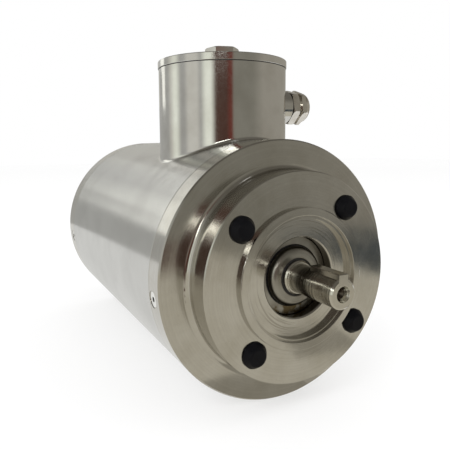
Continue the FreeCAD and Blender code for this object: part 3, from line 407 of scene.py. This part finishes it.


# The rims' screws

# The heads' near-white tint is a painted highlight; the sockets' black is painted shade
SCREW_PAINTED_GLINT = rgb(0.93, 0.93, 0.91)
SOCKET_PAINTED_SHADE = rgb(0.03, 0.03, 0.03)
SOCKET_DARK_BELOW = 0.6 * MM
SOCKET_BRIGHT_ABOVE = 0.3 * MM


def bright_screw():
    """Heads tinted near-white as a painted highlight for their glint, with sockets painted black as shade,
    told apart by their depth under the head's top.
    """
    material, tree, shader = metal("bright_screw", SCREW_PAINTED_GLINT, 0.32)
    reach = max(math.hypot(v.co.y, v.co.z) for v in nodes["shield_screws"].data.vertices)
    radius = shaft_radius(tree, surface_point(tree))
    head = share(tree, radius, reach - SOCKET_DARK_BELOW, reach - SOCKET_BRIGHT_ABOVE)
    plug(tree, mix_colour(tree, head, SOCKET_PAINTED_SHADE, SCREW_PAINTED_GLINT), shader.inputs["Base Color"])
    return material


# Metals that differ only in light tint, dark tint, roughness and scale of grain

PLAIN_GRAIN = 300.0
PLAIN_METALS = {
    "bright_fastener": (rgb(0.62, 0.60, 0.57), rgb(0.50, 0.48, 0.45), (0.20, 0.34), PLAIN_GRAIN),
    "drawn_steel": (rgb(0.56, 0.54, 0.50), rgb(0.50, 0.48, 0.44), (0.15, 0.18), 120.0),
    # The thread's near-black tint is painted shade for the inside of the shaft's centre hole
    "thread_painted_shade": (rgb(0.09, 0.075, 0.06), rgb(0.06, 0.05, 0.04), (0.22, 0.30), PLAIN_GRAIN),
    "bearing_steel": (rgb(0.64, 0.64, 0.65), rgb(0.56, 0.56, 0.57), (0.08, 0.16), PLAIN_GRAIN),
    "cast_aluminium": (rgb(0.72, 0.72, 0.73), rgb(0.58, 0.58, 0.59), (0.35, 0.50), PLAIN_GRAIN),
    "terminal_brass": (rgb(0.70, 0.54, 0.26), rgb(0.56, 0.40, 0.17), (0.20, 0.34), PLAIN_GRAIN),
}

# Plastics and rubber: light tint, dark tint, roughness and gloss

MOULDED_GRAIN = 400.0
PLAIN_GLOSS = 0.3
MOULDED = {
    "black_plastic": (rgb(0.003, 0.003, 0.004), rgb(0.005, 0.005, 0.006), (0.30, 0.40), 0.1),
    "dark_rubber": (rgb(0.020, 0.019, 0.018), rgb(0.032, 0.030, 0.028), (0.50, 0.70), PLAIN_GLOSS),
    "terminal_plastic": (rgb(0.045, 0.030, 0.022), rgb(0.06, 0.042, 0.03), (0.38, 0.50), PLAIN_GLOSS),
    "lead_insulation": (rgb(0.03, 0.03, 0.035), rgb(0.05, 0.05, 0.055), (0.30, 0.42), PLAIN_GLOSS),
}


def clouded_grain(tree, shader, tints, roughness, scales, depth):
    """Light tint that clouds over to a dark one, with a fine grain: one scale for each of the two."""
    point = surface_point(tree)
    cloud = noise(tree, point, scale=scales[0], detail=4.0)
    plug(tree, mix_colour(tree, share(tree, cloud, *CLOUD), *tints), shader.inputs["Base Color"])
    fine = noise(tree, point, scale=scales[1])
    plug(tree, remap(tree, fine, MOST_NOISE, roughness), shader.inputs["Roughness"])
    plug(tree, bump(tree, fine, depth), shader.inputs["Normal"])


def plain_metal(name, light, dark, roughness, grain):
    material, tree, shader = metal(name, light, roughness[0])
    clouded_grain(tree, shader, (light, dark), roughness, (0.4 * grain, 3 * grain), 2 * MICRON)
    return material


def moulded(name, light, dark, roughness, gloss):
    """Moulded plastic or rubber with a fine matt grain."""
    material, tree, shader = new_material(name)
    shader.inputs["Specular IOR Level"].default_value = gloss
    scales = (0.3 * MOULDED_GRAIN, 4 * MOULDED_GRAIN)
    clouded_grain(tree, shader, (light, dark), roughness, scales, 30 * MICRON)
    return material


# The rotor's and the stator's inner metals

WIRE_DARK = rgb(0.30, 0.12, 0.05)
WIRE_LIGHT = rgb(0.62, 0.30, 0.13)
SHEET_DARK = rgb(0.14, 0.14, 0.15)
SHEET_LIGHT = rgb(0.32, 0.32, 0.33)


def copper_winding():
    """Varnished copper wires wound round the core's ends."""
    material, tree, shader = metal("copper_winding", rgb(0.50, 0.22, 0.09), 0.35)
    point = surface_point(tree)
    across = maths(tree, "ADD", shaft_radius(tree, point), along(tree, point, "X"))
    wires = line_noise(tree, across, scale=2600.0, detail=1.0)
    plug(tree, mix_colour(tree, wires, WIRE_DARK, WIRE_LIGHT), shader.inputs["Base Color"])
    plug(tree, bump(tree, wires, 300 * MICRON), shader.inputs["Normal"])
    return material


def core_steel():
    """Stacked electrical sheet: thin bands along the shaft."""
    material, tree, shader = metal("core_steel", rgb(0.22, 0.22, 0.23), 0.4)
    station = along(tree, surface_point(tree), "X")
    sheets = line_noise(tree, station, scale=2500.0, detail=1.0)
    plug(tree, mix_colour(tree, sheets, SHEET_DARK, SHEET_LIGHT), shader.inputs["Base Color"])
    plug(tree, bump(tree, sheets, 80 * MICRON), shader.inputs["Normal"])
    return material


def make_materials():
    """Every material, by the name of the slot or the finish that it fills."""
    made = {
        "turned_steel": turned_steel(),
        "satin_steel": satin_steel(),
        "polished_steel": polished_steel(),
        "plated_brass": plated_brass(),
        "pressed_steel": pressed_steel(),
        "ground_steel": ground_steel(),
        "bright_screw": bright_screw(),
        "core_steel": core_steel(),
        "copper_winding": copper_winding(),
    }
    made.update({name: plain_metal(name, *look) for name, look in PLAIN_METALS.items()})
    made.update({name: moulded(name, *look) for name, look in MOULDED.items()})
    return made


# Meshes

def new_piece(name, points, faces, material):
    mesh = bpy.data.meshes.new(name)
    mesh.from_pydata(points, [], faces)
    mesh.materials.append(material)
    piece = bpy.data.objects.new(name, mesh)
    bpy.context.scene.collection.objects.link(piece)
    return piece


def ring_faces(rings, steps):
    """Faces between closed rings of points that follow one another."""
    faces = []
    for ring in range(rings - 1):
        first, second = ring * steps, (ring + 1) * steps
        for step in range(steps):
            following = (step + 1) % steps
            faces.append((first + step, second + step, second + following, first + following))
    return faces


# The thread in the shaft's plain centre hole, coloured dark as painted shade inside the hole

THREAD_ROOT = 2.47 * MM
THREAD_CREST = 2.1 * MM
THREAD_INSET = 2.7 * MM
THREAD_PITCH = 0.8 * MM
THREAD_TURNS = 11
THREAD_SEGMENTS = 40


def make_shaft_thread(material):
    """Rings that stand in from the hole's wall, one for each turn of the thread."""
    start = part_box("shaft")[1].x - THREAD_INSET
    rings = 2 * THREAD_TURNS + 1
    points = []
    for ring in range(rings):
        radius = THREAD_CREST if ring % 2 else THREAD_ROOT
        x = start - ring * THREAD_PITCH / 2
        for step in range(THREAD_SEGMENTS):
            turn = math.tau * step / THREAD_SEGMENTS
            points.append((x, math.cos(turn) * radius, math.sin(turn) * radius))
    piece = new_piece("shaft_thread", points, ring_faces(rings, THREAD_SEGMENTS), material)
    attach(piece, "rotor")


# Nodes with a finish of their own instead of their slot's

OWN_FINISHES = {
    "slinger_case": "pressed_steel",
    "seal_case": "pressed_steel",
    "shaft": "ground_steel",
    "shaft_key": "drawn_steel",
    "shield_screws": "bright_screw",
}


def dress_nodes():
    materials = make_materials()
    finishes = {part["node"]: part["material_slot"] for part in frame["record"]["subparts"]}
    finishes.update(OWN_FINISHES)
    for name, piece in nodes.items():
        piece.data.materials.clear()
        piece.data.materials.append(materials[finishes[name]])
    make_shaft_thread(materials["thread_painted_shade"])


# Camera

def make_camera():
    ahead = Vector((-math.sin(CAMERA_AZIMUTH) * math.cos(CAMERA_ELEVATION),
                    math.cos(CAMERA_AZIMUTH) * math.cos(CAMERA_ELEVATION),
                    math.sin(CAMERA_ELEVATION)))
    right = Vector((math.cos(CAMERA_AZIMUTH), math.sin(CAMERA_AZIMUTH), 0))
    down = ahead.cross(right)
    rolled_right = right * math.cos(CAMERA_ROLL) + down * math.sin(CAMERA_ROLL)
    rolled_down = down * math.cos(CAMERA_ROLL) - right * math.sin(CAMERA_ROLL)
    data = bpy.data.cameras.new("camera")
    data.sensor_width = SENSOR_WIDTH
    data.lens = FOCAL_PIXELS / IMAGE_SIZE * SENSOR_WIDTH
    data.shift_y = (PRINCIPAL_ROW - IMAGE_SIZE / 2) / IMAGE_SIZE
    data.clip_start = NEAR_LIMIT
    camera = bpy.data.objects.new("camera", data)
    turn = Matrix((rolled_right, -rolled_down, -ahead)).transposed()
    camera.matrix_world = Matrix.Translation(CAMERA_PLACE) @ turn.to_4x4()
    bpy.context.scene.collection.objects.link(camera)
    bpy.context.scene.camera = camera


# Floor

FLOOR_HALF = 4.0
FLOOR_COLOUR = rgb(0.97, 0.97, 0.97)
FLOOR_ROUGHNESS = 0.9
FLOOR_GLOSS = 0.1

# Share of plain white that the camera sees in the floor, so that only a faint shadow is left
FLOOR_GLOW = 0.6


def stage_piece(name, points, faces, material):
    piece = new_piece(name, points, faces, material)
    return piece


def floor_material():
    material, tree, shader = new_material("floor")
    shader.inputs["Base Color"].default_value = FLOOR_COLOUR
    shader.inputs["Roughness"].default_value = FLOOR_ROUGHNESS
    shader.inputs["Specular IOR Level"].default_value = FLOOR_GLOSS
    glow = add(tree, "ShaderNodeEmission")
    path = add(tree, "ShaderNodeLightPath")
    mixed = add(tree, "ShaderNodeMixShader")
    seen = maths(tree, "MULTIPLY", path.outputs["Is Camera Ray"], FLOOR_GLOW)
    plug(tree, seen, mixed.inputs["Fac"])
    plug(tree, shader.outputs["BSDF"], mixed.inputs[1])
    plug(tree, glow.outputs["Emission"], mixed.inputs[2])
    plug(tree, mixed.outputs["Shader"], tree.nodes["Material Output"].inputs["Surface"])
    return material


def make_floor():
    """Pale floor under the barrel; its height is returned."""
    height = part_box("housing_tube")[0].z
    corners = [(x * FLOOR_HALF, y * FLOOR_HALF, height) for x, y in ((-1, -1), (1, -1), (1, 1), (-1, 1))]
    stage_piece("floor", corners, [(0, 1, 2, 3)], floor_material())
    return height


# Surroundings, which only the metal's reflections show

WINDOW = rgb(0.95, 0.98, 0.88)
PALE_WALL = rgb(0.66, 0.65, 0.60)
GREY_WALL = rgb(0.44, 0.44, 0.42)
DUN_WALL = rgb(0.35, 0.33, 0.285)
DIM_CORNER = rgb(0.245, 0.235, 0.20)
DARK_CURTAIN = rgb(0.08, 0.04, 0.03)
RED_CURTAIN = rgb(0.15, 0.04, 0.03)
CEILING = rgb(0.15, 0.14, 0.12)

ROOM_CENTRE = Vector((-40, 0, 0)) * MM
ROOM_RADIUS = 3.0
ROOM_STEPS = 72
WALL_ELEVATIONS = (8, 18, 30, 45, 65, 85)
CEILING_START = 14
CEILING_FULL = 50

# Bearings, in degrees from +X towards +Y, and the room's colours there; it closes behind the motor
ROOM_SEAM = GREY_WALL
ROOM_STRIPS = (
    (-140, GREY_WALL), (-131, PALE_WALL), (-122, WINDOW), (-116, WINDOW), (-106, GREY_WALL),
    (-98, GREY_WALL), (-90, PALE_WALL), (-73, PALE_WALL), (-66, GREY_WALL), (-57, WINDOW),
    (-48, WINDOW), (-39, DARK_CURTAIN), (-20, DARK_CURTAIN), (-15, RED_CURTAIN), (-11, RED_CURTAIN),
    (-8, DIM_CORNER), (28, DIM_CORNER), (50, DUN_WALL), (125, DUN_WALL), (160, GREY_WALL),
)

# Heights above the floor of the room's table, the sheets on it and the cards on those
TABLE_LIFT = 0.1 * MM
SHEET_LIFT = 0.2 * MM
CARD_LIFT = 0.4 * MM
TABLE_RADIUS = 0.43

WHITE_SHEET = rgb(0.80, 0.80, 0.78)
TABLE_TOP = rgb(0.575, 0.545, 0.46)
BLUE_CASE = rgb(0.07, 0.08, 0.085)
TAN_CASE = rgb(0.25, 0.235, 0.195)
SHADE = rgb(0.33, 0.31, 0.26)
HALF_SHADE = rgb(0.44, 0.415, 0.355)

# Cards that lie flat: name, colour, height above the floor, and corners along X and Y.
# The sheet lies under the barrel and the table top before the rim; they meet just behind its face.
SHEET_EDGE = -18 * MM
FLAT_CARDS = (
    ("white_sheet", WHITE_SHEET, SHEET_LIFT,
     ((-0.72, -0.75), (SHEET_EDGE, -0.75), (SHEET_EDGE, 0.5), (-0.72, 0.5))),
    ("table_top", TABLE_TOP, SHEET_LIFT,
     ((SHEET_EDGE, -0.75), (0.40, -0.75), (0.37, 0.26), (SHEET_EDGE, 0.26))),
    ("brown_case", DARK_CURTAIN, CARD_LIFT,
     ((0.25, -0.2), (0.42, -0.2), (0.42, 0.13), (0.26, 0.055))),
    ("blue_case", BLUE_CASE, CARD_LIFT,
     ((0.17, 0.225), (0.40, 0.225), (0.40, 0.42), (0.12, 0.42), (0.12, 0.26))),
    ("tan_case", TAN_CASE, CARD_LIFT,
     ((0.275, 0.135), (0.40, 0.125), (0.40, 0.222), (0.275, 0.222))),
    ("shaft_shade", SHADE, CARD_LIFT,
     ((0.050, 0.034), (0.092, 0.048), (0.086, 0.092), (0.044, 0.082))),
    ("foot_shade", SHADE, CARD_LIFT,
     ((-0.017, -0.034), (0.018, -0.034), (0.018, 0.020), (-0.017, 0.020))),
    ("foot_half_shade", HALF_SHADE, CARD_LIFT,
     ((-0.017, 0.020), (0.018, 0.020), (0.018, 0.032), (-0.017, 0.032))),
)

REAR_DAYLIGHT = rgb(1.22, 1.22, 1.15)
HIGH_DAYLIGHT = rgb(1.2, 1.2, 1.14)
REAR_PANEL = rgb(0.56, 0.56, 0.54)
REAR_SCREEN = rgb(0.58, 0.57, 0.53)
SCREEN_TOP = rgb(1.3, 1.28, 1.18)
FRONT_DAYLIGHT = rgb(4.2, 4.25, 4.0)

# Upright cards: name, colour, bearings of their sides, and heights of their edges over the shaft
CARD_DISTANCE = 2.7
UPRIGHT_CARDS = (
    ("rear_window", REAR_DAYLIGHT, (-166, -150), (0.50, 1.6)),
    ("rear_window_low", REAR_DAYLIGHT, (-162, -150), (0.30, 0.50)),
    ("rear_window_top", HIGH_DAYLIGHT, (-180, -166), (0.98, 1.6)),
    ("rear_panel", REAR_PANEL, (-180, -166), (0.50, 0.98)),
    ("rear_screen", REAR_SCREEN, (161, 180), (0.30, 1.1)),
    ("rear_screen_top", SCREEN_TOP, (161, 180), (1.1, 1.9)),
    ("front_window", FRONT_DAYLIGHT, (-46, -19), (0.80, 1.08)),
)


def glow_material(name):
    """Plain glowing colour; the node that holds it is returned as well."""
    material = bpy.data.materials.new(name)
    material.use_nodes = True
    tree = material.node_tree
    tree.nodes.clear()
    glow = add(tree, "ShaderNodeEmission")
    out = add(tree, "ShaderNodeOutputMaterial")
    plug(tree, glow.outputs[0], out.inputs["Surface"])
    return material, tree, glow


def hide_from_all_but_reflections(piece):
    piece.visible_camera = False
    piece.visible_diffuse = False
    piece.visible_shadow = False
    piece.visible_transmission = False


def on_bearing(degrees, distance, height):
    """A point at a bearing, distance and height from the room's centre."""
    turn = math.radians(degrees)
    return ROOM_CENTRE + Vector((math.cos(turn) * distance, math.sin(turn) * distance, height))


def room_ring(radius, height):
    return [on_bearing(360 * step / ROOM_STEPS - 180, radius, height) for step in range(ROOM_STEPS)]


def room_material():
    """Colours by bearing, which pass into the ceiling's as the room rises."""
    material, tree, glow = glow_material("room")
    outwards = vector_maths(tree, "SUBTRACT", surface_point(tree), tuple(ROOM_CENTRE))
    bearing = maths(tree, "ARCTAN2", along(tree, outwards, "Y"), along(tree, outwards, "X"))
    ramp = add(tree, "ShaderNodeValToRGB")
    plug(tree, remap(tree, bearing, (-math.pi, math.pi), (0.0, 1.0)), ramp.inputs["Fac"])
    stops = ramp.color_ramp.elements
    for seam in (0, 1):
        stops[seam].color = ROOM_SEAM
    for degrees, colour in ROOM_STRIPS:
        stops.new(degrees / 360 + 0.5).color = colour
    height = along(tree, vector_maths(tree, "NORMALIZE", outwards), "Z")
    start, full = (math.sin(math.radians(degrees)) for degrees in (CEILING_START, CEILING_FULL))
    overhead = share(tree, height, start, full, smooth=True)
    plug(tree, mix_colour(tree, overhead, ramp.outputs["Color"], CEILING), glow.inputs["Color"])
    return material


def make_room(floor_height):
    """Far part of the table, walls and ceiling."""
    low = floor_height + TABLE_LIFT
    points = room_ring(TABLE_RADIUS, low) + room_ring(ROOM_RADIUS, low)
    for elevation in WALL_ELEVATIONS:
        rise = math.radians(elevation)
        points += room_ring(ROOM_RADIUS * math.cos(rise), ROOM_RADIUS * math.sin(rise))
    faces = ring_faces(len(points) // ROOM_STEPS, ROOM_STEPS)
    hide_from_all_but_reflections(stage_piece("room", points, faces, room_material()))


def make_card(name, colour, corners):
    material, tree, glow = glow_material(name)
    plug(tree, colour, glow.inputs["Color"])
    card = stage_piece(name, corners, [tuple(range(len(corners)))], material)
    hide_from_all_but_reflections(card)


def make_cards(floor_height):
    for name, colour, lift, corners in FLAT_CARDS:
        make_card(name, colour, [(x, y, floor_height + lift) for x, y in corners])
    for name, colour, (first, last), (low, high) in UPRIGHT_CARDS:
        corners = ((first, low), (last, low), (last, high), (first, high))
        make_card(name, colour, [on_bearing(bearing, CARD_DISTANCE, height) for bearing, height in corners])


# Light

# Soft lights that reflections don't show: name, place, size and power in watts
LIGHT_TARGET = Vector((-0.08, 0, 0))
LIGHTS = (
    ("key", Vector((0.5, -0.9, 0.9)), 0.6, 6.0),
    ("fill", Vector((0.4, 0.9, 0.8)), 0.8, 3.0),
)


def make_world():
    """Even white light from all round."""
    world = bpy.data.worlds.new("world")
    bpy.context.scene.world = world
    world.use_nodes = True
    world.node_tree.nodes["Background"].inputs["Color"].default_value = rgb(1, 1, 1)


def make_lights():
    for name, place, size, power in LIGHTS:
        data = bpy.data.lights.new(name, "AREA")
        data.size = size
        data.energy = power
        lamp = bpy.data.objects.new(name, data)
        lamp.location = place
        lamp.rotation_euler = (LIGHT_TARGET - place).to_track_quat("-Z", "Y").to_euler()
        lamp.visible_glossy = False
        bpy.context.scene.collection.objects.link(lamp)


def make_studio():
    make_world()
    floor_height = make_floor()
    make_room(floor_height)
    make_cards(floor_height)
    make_lights()
    make_camera()
    bpy.context.scene.view_settings.view_transform = "Standard"


dress_nodes()
make_studio()
